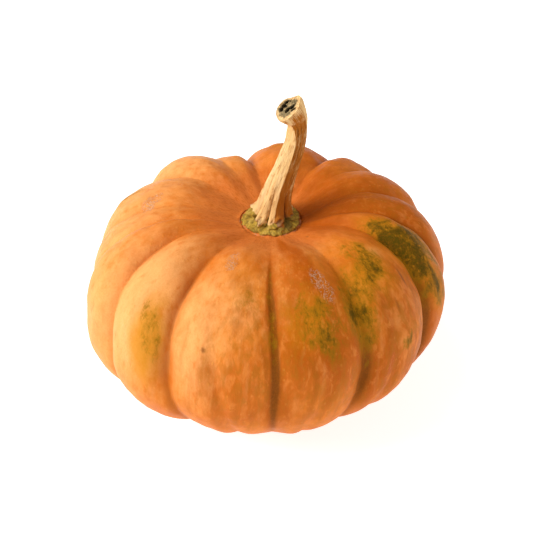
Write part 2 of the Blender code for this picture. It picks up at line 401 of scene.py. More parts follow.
# Slits and fissures: azimuth and height above the seat at the lower end, the same at the upper
# end, half width in degrees and depth in metres
FISSURES = (
    (-56, 0.004, -50, 0.022, 1.8, 0.001),
    (-14, 0.004, -17, 0.029, 1.5, 0.0009),
    (-17, 0.03, -9, 0.036, 1.6, 0.0004),
    (-9, 0.034, -8, 0.043, 1.8, 0.0004),
    (-36, 0.038, -32, 0.05, 1.6, 0.0003),
    (44, 0.006, 38, 0.03, 3, 0.0013),
    (38, 0.034, 44, 0.046, 2.6, 0.0007),
    (30, 0.046, 34, 0.066, 2.8, 0.0006),
    (58, 0.03, 50, 0.058, 2.8, 0.0006),
    (14, 0.034, 4, 0.066, 1.5, 0.0007),
    (24, 0.05, -2, 0.08, 1.5, 0.0009),
    (44, 0.044, 18, 0.082, 1.5, 0.0008),
    (60, 0.052, 36, 0.088, 1.7, 0.0008),
    (2, 0.07, -20, 0.086, 1.4, 0.0005),
    (98, 0.005, 96, 0.034, 4, 0.0018),
    (152, 0.005, 150, 0.036, 4, 0.0016),
    (205, 0.005, 200, 0.03, 4, 0.0016),
    (258, 0.005, 262, 0.034, 4, 0.0016),
    (120, 0.034, 126, 0.066, 3, 0.0007),
    (180, 0.03, 176, 0.06, 3, 0.0008),
    (236, 0.028, 232, 0.07, 3, 0.0007),
)
FISSURE_DEEPEST = 0.0014
# How a fissure wanders: degrees, and the height in metres for one radian of its wave
FISSURE_WANDER = ((1.1, 0.0042), (0.5, 0.0019))
FISSURE_FADE_IN = (-0.002, 0.003)
FISSURE_FADE_OUT = 0.006
# Knobs at the roots' ends: their height, the middle and half width of their zone, and lumps
KNOB_RISE = 0.001
KNOB_HEIGHT = 0.0072
KNOB_ZONE = 0.0028
KNOB_LUMPS = ((1.2, 0.0042, 22),)
WART_LUMPS = ((0.0005, 0.005, 23), (0.00022, 0.0022, 24))
FIBRE_LUMPS = ((0.00005, 0.0011, 25), (0.00009, 0.0024, 26))
BARK_LUMPS = ((0.00012, 0.016, 27), (0.00004, 0.004, 28))
CUT_LUMPS = ((0.00016, 0.0016, 31), (0.0001, 0.0007, 32))
# The stem's coordinates for patterns run round a rod of this radius
STEM_GRAIN_RADIUS = 0.01
FIBRE_STRETCH = (1.0, 1.0, 0.07)
# The last rings of the side, where its relief settles to the plain rim
RIM_SETTLE_RINGS = 8.0

# The hollow in the cut end: its middle ahead and aside and its edge, as shares of the section,
# and the waves on that edge: size, how many round, turn
HOLLOW_AHEAD = -0.12
HOLLOW_ASIDE = -0.06
HOLLOW_EDGE = (0.64, 0.82)
HOLLOW_DEPTH = 0.0012
HOLLOW_WAVES = ((0.05, 9.0, 0.0), (0.03, 17.0, 1.0))
# Its holes, with painted shade that darkens the deeper they go: where their edge starts and ends,
# their least depth, the depth where that painted shade is darkest, and the waves of their edge:
# size, and radians ahead and aside
PIT_EDGE = (0.55, 1.15)
PIT_FLOOR = 0.0006
PIT_SHADE_DEPTH = 0.0026
PIT_WAVE = (0.18, 11.0, 7.0)
# Shares of the section where the rim rounds over, and where the cut's fibres and colour begin
RIM_ROUNDING = (1.0, 0.9)
CUT_LUMPS_FROM = (1.0, 0.85)
CUT_EDGE = (1.02, 0.96)
# The holes: place ahead and aside, half sizes, turn in degrees, and depth in metres
PITS = (
    (-0.44, -0.5, 0.28, 0.18, 25, 0.003),
    (-0.68, -0.26, 0.22, 0.24, 20, 0.0034),
    (-0.72, 0.06, 0.18, 0.28, 0, 0.003),
    (-0.4, -0.14, 0.16, 0.16, 10, 0.0026),
    (-0.62, 0.4, 0.12, 0.18, -20, 0.0018),
    (0.02, -0.14, 0.2, 0.24, 10, 0.0034),
    (0.08, 0.2, 0.18, 0.3, -6, 0.003),
    (0.44, 0.28, 0.12, 0.26, -10, 0.003),
    (-0.1, 0.54, 0.26, 0.16, 30, 0.001),
)

# ---- camera, light and floor

CAMERA_ELEVATION = 36.0
CAMERA_DISTANCE = 0.9395
CAMERA_LENS = 85.33
SENSOR = 36.0
SHIFT_X = 0.0101
SHIFT_Y = 0.025
WORLD_STRENGTH = 0.3
WORLD_COLOUR = (1.0, 0.94, 0.86, 1.0)
FLOOR_SIZE = 60.0
FLOOR_GLOW = 0.8
GLOW_COLOUR = (0.93, 0.97, 1.0, 1.0)
# Each light: azimuth from -Y towards +X and elevation in degrees, distance, side, watts, colour
LIGHTS = {
    "key": (-78.0, 30.0, 3.0, 1.2, 72.0, (1.0, 0.97, 0.93)),
    "top": (-85.0, 64.0, 3.0, 1.6, 38.0, (1.0, 0.97, 0.92)),
    "fill": (80.0, 22.0, 3.0, 2.2, 24.0, (1.0, 0.86, 0.66)),
}


# ---- small mathematics

# How many waves a ripple is made of, and how their lengths spread about the one asked for
RIPPLE_WAVES = 24
RIPPLE_SPREAD = (0.7, 1.5)


def ease(low, high, value):
    """0 up to low, 1 from high on, and a smooth step between them. low may be above high."""
    share = np.clip((value - low) / (high - low), 0.0, 1.0)
    return share * share * (3.0 - 2.0 * share)


def fade(low, high, value):
    """The other way round: 1 up to low and 0 from high on."""
    return 1.0 - ease(low, high, value)


def bell(off):
    return np.exp(-(off**2))


def unit(vectors):
    return vectors / np.linalg.norm(vectors, axis=-1, keepdims=True)


def distance_along(points):
    """How far along a line each of its points is."""
    return np.concatenate([[0.0], np.cumsum(np.linalg.norm(np.diff(points, axis=0), axis=1))])


def ripple(points, wavelength, seed):
    """Noise of about unit size: sine waves of about this wavelength, in all directions."""
    dice = np.random.default_rng(seed)
    total = np.zeros(points.shape[:-1])
    for _ in range(RIPPLE_WAVES):
        direction = dice.normal(size=3)
        length = wavelength * dice.uniform(*RIPPLE_SPREAD)
        direction *= 2.0 * math.pi / (np.linalg.norm(direction) * length)
        total += np.sin(points @ direction + dice.uniform(0.0, 2.0 * math.pi))
    return total / math.sqrt(RIPPLE_WAVES / 2.0)


def lumps(points, rows):
    return sum(height * ripple(points, wavelength, seed) for height, wavelength, seed in rows)


def waves(turn, rows):
    return sum(size * np.sin(count * turn + start) for size, count, start in rows)


def gap_of_angles(first, second):
    return (first - second + 180.0) % 360.0 - 180.0


def blotches(azimuth, share, marks):
    """The sum of soft round marks at these azimuths and shares."""
    total = np.zeros(np.broadcast(azimuth, share).shape)
    for middle, along, wide, long, strength in marks:
        off = (gap_of_angles(azimuth, middle) / wide) ** 2 + ((share - along) / long) ** 2
        total += strength * np.exp(-MARK_SHARPNESS * off)
    return total


# ---- the fruit's shape


def meridian(share):
    """Radius, height and outward normal at these shares of the way to the blossom end."""
    polar = np.linspace(0.0, math.pi, MERIDIAN_STEPS)
    sine, cosine = np.sin(polar), np.cos(polar)
    above = cosine > 0.0
    power = np.where(above, 2.0 / ROUNDNESS_ABOVE, 2.0 / ROUNDNESS_BELOW)
    rise = np.where(above, SHOULDER_RISE, -BELLY_DROP)
    radius = FRUIT_RADIUS * np.maximum(sine, 0.0) ** power
    height = rise * np.abs(cosine) ** power
    height = height - CAVITY_DEPTH * np.exp(-((radius / CAVITY_WIDTH) ** CAVITY_SHAPE)) * above
    run = np.concatenate([[0.0], np.cumsum(np.hypot(np.diff(radius), np.diff(height)))])
    run /= run[-1]
    along = np.maximum(np.hypot(np.gradient(radius), np.gradient(height)), 1e-9)
    outward = -np.gradient(height) / along
    upward = np.gradient(radius) / along
    return [np.interp(share, run, column) for column in (radius, height, outward, upward)]


def rib_azimuth(place, share):
    """Azimuth in degrees of this place among the ribs (0 is the first furrow, 1 the next)."""
    stops = np.array(FURROWS)[:, :3]
    stops = np.vstack([stops, stops[:1] + 360.0])
    top, belly, underside = (np.interp(place, range(len(stops)), column) for column in stops.T)
    upper = ease(TOP_SHARE, BELLY_SHARE, share)
    lower = ease(BELLY_SHARE, UNDERSIDE_SHARE, share)
    return top + (belly - top) * upper + (underside - belly) * lower


def furrow_cut(place, share):
    """How far the skin lies below the crest line, in metres."""
    rib = np.floor(place).astype(int) % len(FURROWS)
    across = 2.0 * (place - np.floor(place)) - 1.0
    inner = 1.0 - np.hypot(1.0 - np.abs(across), FURROW_ROUNDING)
    depths, swells = np.array(FURROWS)[:, 3:].T
    depth = np.where(across < 0.0, depths[rib], depths[(rib + 1) % len(FURROWS)])
    pinched = (1.0 - inner**2) ** PINCH
    soft = np.cos(across * math.pi / 2) ** 2
    arch = soft + (pinched - soft) * ease(*PINCH_ZONE, share)
    present = ease(FURROW_START, FURROW_FULL, share)
    present = present * (1.0 - FURROW_FADE * ease(BELLY_SHARE, UNDERSIDE_SHARE, share))
    present = present * fade(FLAT_START, FLAT_END, share)
    cut = (depth * (1.0 - arch) - swells[rib] * arch) * present
    return cut + crease_cut(place, share)


def crease_cut(place, share):
    cut = np.zeros(np.broadcast(place, share).shape)
    for number, upper, lower, crease, start, end in CREASES:
        middle = number + upper + (lower - upper) * ease(start, end, share)
        off = np.abs(place - middle) / CREASE_HALF_WIDTH
        window = ease(start - CREASE_FADE_IN, start + CREASE_FADE_IN, share)
        window = window * fade(end, end + CREASE_FADE_OUT, share)
        cut = cut + crease * np.clip(1.0 - off, 0.0, 1.0) ** 2 * window
    return cut


def skin(place, share):
    """The skin's points, for these places among the ribs and shares of the meridian."""
    radius, height, outward, upward = meridian(share)
    cut = furrow_cut(place, share)
    radius = radius - cut * outward
    height = height - cut * upward
    turn = np.radians(rib_azimuth(place, share))
    sway = fade(*SEAT_SWAY, share)
    across = radius * np.sin(turn) + SEAT_X * sway
    across = across + UNDERSIDE_X * ease(*UNDERSIDE_SWAY, share)
    back = SEAT_Y * sway - radius * np.cos(turn)
    return np.stack([across, back, height], axis=-1)


def seat_height():
    return SHOULDER_RISE - CAVITY_DEPTH + SEAT_LIFT


def gaps_round(starts):
    """The angles from each of these to the next, all the way round."""
    return np.diff(np.append(starts, starts[0] + 360.0))


def rib_spans():
    return gaps_round([furrow[1] for furrow in FURROWS])


def rib_columns():
    """Places among the ribs, evenly spread in angle and closer together beside each furrow."""
    places = []
    for rib, span in enumerate(rib_spans()):
        count = round(span * COLUMNS_PER_DEGREE)
        step = np.arange(count) / count
        eased = (1.0 - np.cos(math.pi * step)) / 2.0
        places.append(rib + (1.0 - COLUMN_CROWDING) * step + COLUMN_CROWDING * eased)
    return np.concatenate(places)


def seated(points, azimuth, share):
    """Lays the middle of the stem end flat, as the CAD's seat is, and blends it into the skin."""
    reach = SEAT_RADIUS * np.minimum(share / SEAT_SHARE, 1.0)
    turn = np.radians(azimuth)
    across, back = SEAT_X + reach * np.sin(turn), SEAT_Y - reach * np.cos(turn)
    flat = np.stack([across, back, np.full(reach.shape, seat_height())], axis=-1)
    skin_part = ease(SEAT_SHARE, SEAT_BLEND * SEAT_SHARE, share)[..., None]
    return flat + (points - flat) * skin_part


def normals_of(points):
    """Outward unit normals of a grid of points whose rows run down and columns run round."""
    around = np.roll(points, -1, axis=1) - np.roll(points, 1, axis=1)
    normal = np.cross(np.gradient(points, axis=0), around)
    return normal / np.maximum(np.linalg.norm(normal, axis=-1, keepdims=True), 1e-12)


def furrow_nearness(place, share):
    """1 in the bottom of a furrow, falling to 0 a few millimetres up its sides: where the furrows'
    painted shade goes, stronger in deeper furrows.
    """
    nearest = np.abs(place - np.rint(place))
    rib = np.floor(place).astype(int) % len(FURROWS)
    reach = np.radians(nearest * rib_spans()[rib]) * FRUIT_RADIUS
    depths = np.array(FURROWS)[:, 3]
    depth = depths[np.rint(place).astype(int) % len(FURROWS)] / depths.max()
    depth = FURROW_LEAST + (1.0 - FURROW_LEAST) * depth
    close = bell(reach / (FURROW_LINE * depth**2)) + FURROW_SIDES * bell(reach / FURROW_REACH)
    present = ease(*FURROW_BEGINS, share)
    return close * depth * present * (1.0 - FURROW_PALING * ease(*FURROW_PALES, share))


def collar_wave(azimuth):
    """The unevenness of the collar's outline, as a share of its radius."""
    return waves(np.radians(azimuth), COLLAR_WAVES)


def rind_grain(points, azimuth, share):
    """Coordinates along the skin, so that patterns stretch from the stem to the underside."""
    from_axis = np.hypot(points[..., 0], points[..., 1])
    reach = GRAIN_CORE + (1.0 - GRAIN_CORE / FRUIT_RADIUS) * from_axis
    turn = np.radians(azimuth)
    across, back = reach * np.sin(turn), -reach * np.cos(turn)
    return np.stack([across, back, share * MERIDIAN_LENGTH], axis=-1)


def rind_relief(points, azimuth, share, scars, scratches):
    """Relief on top of the CAD's skin, in metres: lumps, scars that stand proud, nicks."""
    away = ease(*LUMPS_BEGIN, share) * fade(*LUMPS_END, share)
    along = rind_grain(points, azimuth, share) * LONG_LUMP_STRETCH
    rough = (lumps(points, RIND_LUMPS) + lumps(along, RIND_LONG_LUMPS)) * away
    sides = BELLY_SWELL * np.sin(np.radians(azimuth)) ** 2 * np.sin(math.pi * share) ** 2
    scabs = SCAR_RISE * scars * (SCAR_LEVEL + lumps(points, SCAR_LUMPS))
    return rough + sides + scabs - SCRATCH_DEPTH * scratches


def stand_on_floor(points):
    """Flattens the underside and lifts the fruit so that it stands at height 0."""
    lift = BELLY_DROP - FLOOR_TRIM
    points[..., 2] = np.maximum(points[..., 2], -lift) + lift


def press_dimple(points, share):
    """Presses the blossom end in. Returns masks of the scar in it and of the ring round it."""
    reach = np.hypot(points[..., 0] - UNDERSIDE_X, points[..., 1])
    under = share > UNDERSIDE_SHARE
    inside = np.clip(1.0 - (reach / DIMPLE_RADIUS) ** 2, 0.0, 1.0)
    points[..., 2] += DIMPLE_DEPTH * inside**2 * under
    off = reach / BLOSSOM_SCAR
    ring = bell((off - BLOSSOM_RING) / BLOSSOM_RING_WIDTH)
    return fade(*BLOSSOM_EDGE, off) * under, ring * under


def raise_lip(points, azimuth, share):
    """Raises the rind round the collar. Returns the mask of the pale fringe there."""
    on_top = share < TOP_SHARE
    reach = np.hypot(points[..., 0] - SEAT_X, points[..., 1] - SEAT_Y)
    reach = reach / (1.0 + collar_wave(azimuth)) + lumps(points, COLLAR_LUMPS)
    lip = LIP_RISE * bell((reach - LIP_RADIUS) / LIP_WIDTH) * on_top
    points[..., 2] += lip * (1.0 + lumps(points, LIP_LUMPS))
    return bell((reach - FRINGE_RADIUS) / FRINGE_WIDTH) * on_top


def make_rind():
    """The rind as a closed grid, with its marks as attributes."""
    shares = np.linspace(0.0, 1.0, RIND_RINGS + 1)[1:-1]
    place, share = np.meshgrid(rib_columns(), shares)
    azimuth = rib_azimuth(place, share)
    points = seated(skin(place, share), azimuth, share)
    layers = {name: blotches(azimuth, share, marks) for name, marks in RIND_MARKS.items()}
    relief = rind_relief(points, azimuth, share, layers["scar"], layers["scratch"])
    points = points + normals_of(points) * relief[..., None]
    stand_on_floor(points)
    layers["blossom"], layers["blossom_ring"] = press_dimple(points, share)
    layers["fringe"] = raise_lip(points, azimuth, share)
    points += CENTRING
    # where the painted shade of the furrows and creases goes
    layers["furrow"] = np.clip(furrow_nearness(place, share), 0.0, 1.0)
    layers["crease"] = np.clip(crease_cut(place, share) / CREASE_DEEPEST, 0.0, 1.0)
    layers["stem_end"] = fade(*STEM_END_ZONE, share)
    layers["contact"] = ease(*CONTACT_ZONE, share)
    layers["grain"] = rind_grain(points, azimuth, share)
    return grid_mesh("rind", points, layers)


# ---- the stem's shape


def spline(knots, spots):
    """Catmull-Rom points at these spots (0 is the first knot, 1 the second) of a line of knots."""
    knots = np.asarray(knots, float)
    padded = np.vstack([2 * knots[0] - knots[1], knots, 2 * knots[-1] - knots[-2]])
    first = np.clip(np.floor(spots).astype(int), 0, len(knots) - 2)
    part = (spots - first)[:, None]
    a, b, c, d = (padded[first + step] for step in range(4))
    square, cube = 2 * a - 5 * b + 4 * c - d, 3 * b - a - 3 * c + d
    return 0.5 * (2 * b + (c - a) * part + square * part**2 + cube * part**3)


def root_across(azimuth):
    """Place across the root at this azimuth: -1 and 1 in the furrows beside it, 0 on its crest."""
    spans = gaps_round(ROOT_FURROWS)
    turned = (azimuth - ROOT_FURROWS[0]) % 360.0
    edges = np.append(0.0, np.cumsum(spans))
    rib = np.clip(np.searchsorted(edges, turned, side="right") - 1, 0, len(spans) - 1)
    return 2.0 * (turned - edges[rib]) / spans[rib] - 1.0


def ridge_azimuth(height):
    """Azimuth of the stem's front ridge, which twists below the head."""
    return ANGLED_START + RIDGE_TWIST * ease(*TWIST_ZONE, height)


def stem_section(azimuth, height):
    """The section's radius as a share of the stem's radius there, for azimuths in degrees."""
    roots = 1.0 - (1.0 - root_across(azimuth) ** 2) ** ROOT_ROUNDNESS
    half = 180.0 / RIDGE_ANGLES
    off = np.radians((azimuth - ridge_azimuth(height) + half) % (2.0 * half) - half)
    corner = math.cos(math.pi / RIDGE_ANGLES)
    angled = (1.0 - corner / np.cos(math.pi / RIDGE_ANGLES - np.abs(off))) / (1.0 - corner)
    above = ease(*ROOT_ZONE, height)
    low = bell(height / ROOT_REACH) * above
    smoother = (HEAD_ANGLED_DEPTH - ANGLED_DEPTH) * ease(*HEAD_SMOOTH_ZONE, height)
    angles = ANGLED_DEPTH + smoother
    hollows = ROOT_DEPTH * low * roots + angles * (above - low) * angled
    return 1.0 - hollows + collar_wave(azimuth) * (1.0 - above)


def fissure_depths(azimuth, height):
    """How deep the slits and fissures go at these places, in metres."""
    total = np.zeros(np.broadcast(azimuth, height).shape)
    for low_turn, low, high_turn, high, wide, depth in FISSURES:
        part = np.clip((height - low) / (high - low), 0.0, 1.0)
        middle = low_turn + (high_turn - low_turn) * part
        for (size, length), start in zip(FISSURE_WANDER, (low_turn, high_turn)):
            middle = middle + size * np.sin(height / length + start)
        ends = ease(low + FISSURE_FADE_IN[0], low + FISSURE_FADE_IN[1], height)
        ends = ends * fade(high - FISSURE_FADE_OUT, high, height)
        total = np.maximum(total, depth * bell(gap_of_angles(azimuth, middle) / wide) * ends)
    return total


def head_swell(azimuth, height):
    """How much wider than its section the head is, as a share of the radius."""
    corners = (rise * bell(gap_of_angles(azimuth, at) / wide) for at, rise, wide in HEAD_CORNERS)
    return sum(corners) * ease(*HEAD_ZONE, height)


def brown_and_shaded_side(azimuth, height):
    """1 on the face right of the front ridge, browner bark and painted shade, fading at the head.
    """
    past_ridge = gap_of_angles(azimuth, ridge_azimuth(height))
    face = ease(*SHADED_FACE_START, past_ridge) * fade(*SHADED_FACE_END, past_ridge)
    return BROWN_AND_SHADED_FACE * face * (1.0 - HEAD_PALER * ease(*HEAD_PALER_ZONE, height))


def stem_frames(spots):
    """Centre, size, stretch, and front and right directions along the stem's line."""
    knots = np.array(STEM_LINE)
    line = spline(knots, spots)
    centre, size, stretch = line[:, :3], line[:, 3:4], line[:, 4:5]
    along = unit(np.gradient(centre, axis=0))
    end = ease(len(knots) - 1.0 - CUT_KNOTS, len(knots) - 1.0, spots)[:, None]
    foot = ease(*FOOT_ZONE, centre[:, 2:3])
    normal = along * foot + np.array([0.0, 0.0, 1.0]) * (1.0 - foot)
    normal = unit(normal * (1.0 - end) + unit(np.array(CUT_NORMAL)) * end)
    front = unit(np.array([0.0, -1.0, 0.0]) + normal[:, 1:2] * normal)
    return centre, size, stretch, front, np.cross(normal, front)


def stem_spots():
    """Places on the stem's line, in knots, that are evenly far from each other."""
    run = distance_along(np.array(STEM_LINE)[:, :3])
    return np.interp(np.linspace(0.0, run[-1], STEM_RINGS), run, range(len(run)))


def stem_relief(points, grain, masks):
    """Relief on the stem's side, in metres."""
    knobs = KNOB_RISE * masks["root_end"] * (1.0 + lumps(points, KNOB_LUMPS))
    warts = masks["collar"] * lumps(points, WART_LUMPS)
    bark = lumps(grain * FIBRE_STRETCH, FIBRE_LUMPS) + lumps(points, BARK_LUMPS)
    return knobs + warts + (1.0 - masks["collar"]) * bark - masks["fissure"]


def side_masks(points, azimuth, height):
    """The masks of the stem's side, with the fissures' depth in metres."""
    rises = [(at, 0.0, wide, 1.0, rise) for at, wide, rise in COLLAR_RISES]
    edge = COLLAR_EDGE + blotches(azimuth, 0.0, rises)
    ragged = height + lumps(points, EDGE_LUMPS)
    knob = bell((height - KNOB_HEIGHT) / KNOB_ZONE)
    brown_and_shade = blotches(azimuth, height, BROWN_AND_SHADED_SIDES) + brown_and_shaded_side(azimuth, height)
    return {
        "fissure": fissure_depths(azimuth, height),
        "root_end": knob * (1.0 - root_across(azimuth) ** 2),
        "collar": fade(edge, edge + COLLAR_SOFTNESS, ragged),
        "low_edge_shade": fade(*LOW_EDGE_ZONE, height),
        "brown_and_shade": np.clip(brown_and_shade, 0.0, 1.0),
        "hollow": blotches(azimuth, height, COLLAR_HOLLOW_SHADES),
    }


def stem_side():
    """The stem's side from under its collar to the rim, as rows of points, and its masks."""
    centre, size, stretch, front, right = stem_frames(stem_spots())
    shape = (len(centre), STEM_SEGMENTS)
    azimuth = np.broadcast_to(np.arange(STEM_SEGMENTS) * 360.0 / STEM_SEGMENTS, shape)
    height = np.broadcast_to(centre[:, 2:3], shape)
    turn = np.radians(azimuth)
    reach = stem_section(azimuth, height) * size * (1.0 + head_swell(azimuth, height))
    reach = reach * (1.0 - COLLAR_SHRINK * ease(*COLLAR_SHRINK_ZONE, height))
    ahead = (reach * np.cos(turn))[..., None] * front[:, None]
    aside = (reach * np.sin(turn) * stretch)[..., None] * right[:, None]
    side = centre[:, None] + ahead + aside
    run = np.broadcast_to(distance_along(centre)[:, None], shape)
    rod = STEM_GRAIN_RADIUS * np.cos(turn), STEM_GRAIN_RADIUS * np.sin(turn)
    grain = np.stack([*rod, run], axis=-1)
    masks = side_masks(side, azimuth, height)
    relief = stem_relief(side, grain, masks)
    rings = len(centre)
    settle = ease(rings + 1.0, rings - RIM_SETTLE_RINGS, np.arange(rings))[:, None]
    side = side + unit(side - centre[:, None]) * (relief * settle)[..., None]
    side[..., 2] -= SKIRT_DEPTH * fade(0.0, SKIRT_HEIGHT, height)
    masks["fissure"] = np.clip(masks["fissure"] / FISSURE_DEEPEST, 0.0, 1.0)
    return side, {**masks, "grain": grain}


def cut_relief(ahead, aside, reach):
    """Depth below the rim's plane on the cut end, in metres, and masks of the holes' painted shade
    and of the hollow.
    """
    ragged_edge = waves(np.arctan2(aside, ahead), HOLLOW_WAVES)
    off_centre = np.hypot(ahead - HOLLOW_AHEAD, aside - HOLLOW_ASIDE)
    hollow = fade(*HOLLOW_EDGE, off_centre + ragged_edge)
    depth = HOLLOW_DEPTH * hollow
    pit_shades = np.zeros(reach.shape)
    wave, forwards, sideways = PIT_WAVE
    for pit_ahead, pit_aside, long, wide, pit_turn, deep in PITS:
        cosine, sine = math.cos(math.radians(pit_turn)), math.sin(math.radians(pit_turn))
        first = ((ahead - pit_ahead) * cosine + (aside - pit_aside) * sine) / long
        second = ((aside - pit_aside) * cosine - (ahead - pit_ahead) * sine) / wide
        ragged = np.hypot(first, second) + wave * np.sin(forwards * ahead + sideways * aside)
        hole = fade(*PIT_EDGE, ragged)
        depth = np.maximum(depth, PIT_FLOOR + deep * hole)
        pit_shades = np.maximum(pit_shades, hole * min(1.0, deep / PIT_SHADE_DEPTH))
    return depth * ease(*RIM_ROUNDING, reach), pit_shades, hollow


def stem_cut(rim):
    """The cut end, ring by ring from its rim to its middle, and its masks."""
    middle = rim.mean(axis=0)
    shape = (CUT_RINGS, STEM_SEGMENTS)
    shares = np.broadcast_to(np.linspace(1.0, 0.0, CUT_RINGS + 2)[1:-1, None], shape)
    turn = np.radians(np.arange(STEM_SEGMENTS) * 360.0 / STEM_SEGMENTS)
    depth, pit_shades, hollow = cut_relief(shares * np.cos(turn), shares * np.sin(turn), shares)
    face = middle + (rim - middle) * shares[..., None]
    depth = depth + lumps(face, CUT_LUMPS) * ease(*CUT_LUMPS_FROM, shares)
    face = face - unit(np.array(CUT_NORMAL)) * depth[..., None]
    masks = {"cut_end": ease(*CUT_EDGE, shares), "hole": pit_shades, "pith": hollow}
    return face, {**masks, "grain": face}


def make_stem():
    """The stem as a closed grid: its side from under the collar to the rim, then the cut end."""
    side, side_layers = stem_side()
    face, face_layers = stem_cut(side[-1])
    no_side, no_face = np.zeros(side.shape[:2]), np.zeros(face.shape[:2])
    layers = {}
    for name in {**side_layers, **face_layers}:
        parts = side_layers.get(name, no_side), face_layers.get(name, no_face)
        layers[name] = np.concatenate(parts)
    rows = np.concatenate([side, face])
    rows += (*CENTRING[:2], seat_height() + BELLY_DROP - FLOOR_TRIM)
    return grid_mesh("dried_stem", rows, layers)


# ---- meshes


def grid_mesh(name, points, layers):
    """A closed mesh from rows of points that go round, with a point at each end and attributes."""
    rows, columns = points.shape[:2]

    def with_ends(values):
        ends = values[0].mean(axis=0), values[-1].mean(axis=0)
        flat = values.reshape(rows * columns, -1)
        return np.concatenate([flat, np.atleast_2d(ends[0]), np.atleast_2d(ends[1])])

    spot = np.arange(rows * columns).reshape(rows, columns)
    after = np.roll(spot, -1, axis=1)
    quads = np.stack([spot[:-1], after[:-1], after[1:], spot[1:]], axis=-1).reshape(-1, 4)
    first, last = rows * columns, rows * columns + 1
    faces = quads.tolist()
    faces += [(first, b, a) for a, b in zip(spot[0].tolist(), after[0].tolist())]
    faces += [(last, a, b) for a, b in zip(spot[-1].tolist(), after[-1].tolist())]
    mesh = bpy.data.meshes.new(name)
    mesh.from_pydata(with_ends(points).tolist(), [], faces)
    mesh.update()
    if signed_volume(mesh) < 0.0:
        mesh.flip_normals()
    for layer, values in layers.items():
        add_layer(mesh, layer, with_ends(values))
    mesh.shade_smooth()
    made = bpy.data.objects.new(name, mesh)
    bpy.context.scene.collection.objects.link(made)
    return made


def signed_volume(mesh):
    mesh.calc_loop_triangles()
    points = np.empty(len(mesh.vertices) * 3, np.float32)
    mesh.vertices.foreach_get("co", points)
    corners = np.empty(len(mesh.loop_triangles) * 3, np.int32)
    mesh.loop_triangles.foreach_get("vertices", corners)
    return float(np.linalg.det(points.reshape(-1, 3).astype(float)[corners.reshape(-1, 3)]).sum())


def add_layer(mesh, layer, values):
    """A number or a vector at each point, for the material to read."""
    kind, slot = ("FLOAT", "value") if values.shape[1] == 1 else ("FLOAT_VECTOR", "vector")
    made = mesh.attributes.new(layer, kind, "POINT")
    made.data.foreach_set(slot, values.astype(np.float32).ravel())


# ---- materials


NOISE_MIDDLE = 0.5


class Paint:
    """A short way to write a material's nodes. Each call returns an output socket."""

    def __init__(self, name):
        self.material = bpy.data.materials.new(name)
        self.material.use_nodes = True
        self.nodes = self.material.node_tree.nodes
        self.links = self.material.node_tree.links
        self.surface = self.nodes["Principled BSDF"].inputs

    def put(self, socket, value):
        if isinstance(value, bpy.types.NodeSocket):
            self.links.new(value, socket)
        elif isinstance(value, tuple) and len(value) == 3 and socket.type == "RGBA":
            socket.default_value = (*value, 1.0)
        else:
            socket.default_value = value

    def node(self, kind, inputs, output=0, **settings):
        """A new node with these settings and inputs, keyed by name or by number."""
        made = self.nodes.new(kind)
        for setting, value in settings.items():
            setattr(made, setting, value)
        for key, value in inputs.items():
            self.put(made.inputs[key], value)
        return made.outputs[output]

    def layer(self, name):
        return self.node("ShaderNodeAttribute", {}, "Fac", attribute_name=name)

    def math(self, operation, *values, clamp=False):
        inputs = dict(enumerate(values))
        return self.node("ShaderNodeMath", inputs, operation=operation, use_clamp=clamp)

    def times(self, first, second):
        return self.math("MULTIPLY", first, second)

    def plus(self, value, other, share):
        """value with this share of other added."""
        return self.math("MULTIPLY_ADD", other, share, value)

    def ramp(self, value, low, high, start=0.0, end=1.0):
        """value from low to high, smoothly mapped onto start to end."""
        inputs = dict(enumerate((value, low, high, start, end)))
        return self.node("ShaderNodeMapRange", inputs, interpolation_type="SMOOTHSTEP")

    def mix(self, share, first, second):
        inputs = {0: share, 6: first, 7: second}
        return self.node("ShaderNodeMix", inputs, 2, data_type="RGBA")

    def grain(self, stretch):
        """Coordinates whose patterns are stretched along the grain."""
        along = self.node("ShaderNodeAttribute", {}, "Vector", attribute_name="grain")
        inputs = {0: along, 1: (1.0, 1.0, stretch)}
        return self.node("ShaderNodeVectorMath", inputs, operation="MULTIPLY")

    def noise(self, place, scale, detail, roughness, distortion):
        inputs = {
            "Vector": place,
            "Scale": scale,
            "Detail": detail,
            "Roughness": roughness,
            "Distortion": distortion,
        }
        return self.node("ShaderNodeTexNoise", inputs, "Fac")

    def patterns(self, table):
        """The noises of a table, by name."""
        return {name: self.noise(self.grain(row[0]), *row[1:]) for name, row in table.items()}

    def lines(self, pattern, width):
        """A net of thin wandering lines: 1 on a line and 0 off it."""
        off = self.math("ABSOLUTE", self.math("SUBTRACT", pattern, NOISE_MIDDLE))
        return self.ramp(off, width, 0.0)

    def uneven(self, value, pattern, amount):
        """value with noise of this strength added."""
        return self.plus(value, self.math("SUBTRACT", pattern, NOISE_MIDDLE), amount)

    def torn(self, name, masks, row, value=None):
        """A layer, or a value on it, made uneven by patterns and kept to where the layer is."""
        noises, fade_in = row
        value = self.layer(name) if value is None else value
        for pattern, amount in noises.items():
            value = self.uneven(value, masks[pattern], amount)
        if fade_in:
            value = self.times(value, self.ramp(self.layer(name), *fade_in))
        return value

    def coats(self, colour, masks, rows):
        """The colour under coats laid in this order, and how fully each mask's coat covers it."""
        covers = {}
        for mask, low, high, most, tint, *gates in rows:
            covers[mask] = self.ramp(masks[mask], low, high, 0.0, most)
            for gate in gates:
                covers[mask] = self.times(covers[mask], masks[gate])
            colour = self.mix(covers[mask], colour, tint)
        return colour, covers

    def weighted(self, masks, weights):
        """The sum of these masks, each with its weight."""
        total = 0.0
        for name, weight in weights.items():
            total = self.plus(total, masks[name], weight)
        return total

    def bump(self, height, distance, strength):
        inputs = {"Height": height, "Distance": distance, "Strength": strength}
        return self.node("ShaderNodeBump", inputs, "Normal")

    def finish(self, surface):
        """The material, with these inputs of its surface."""
        for name, value in surface.items():
            self.put(self.surface[name], value)
        return self.material


# ---- the rind's material

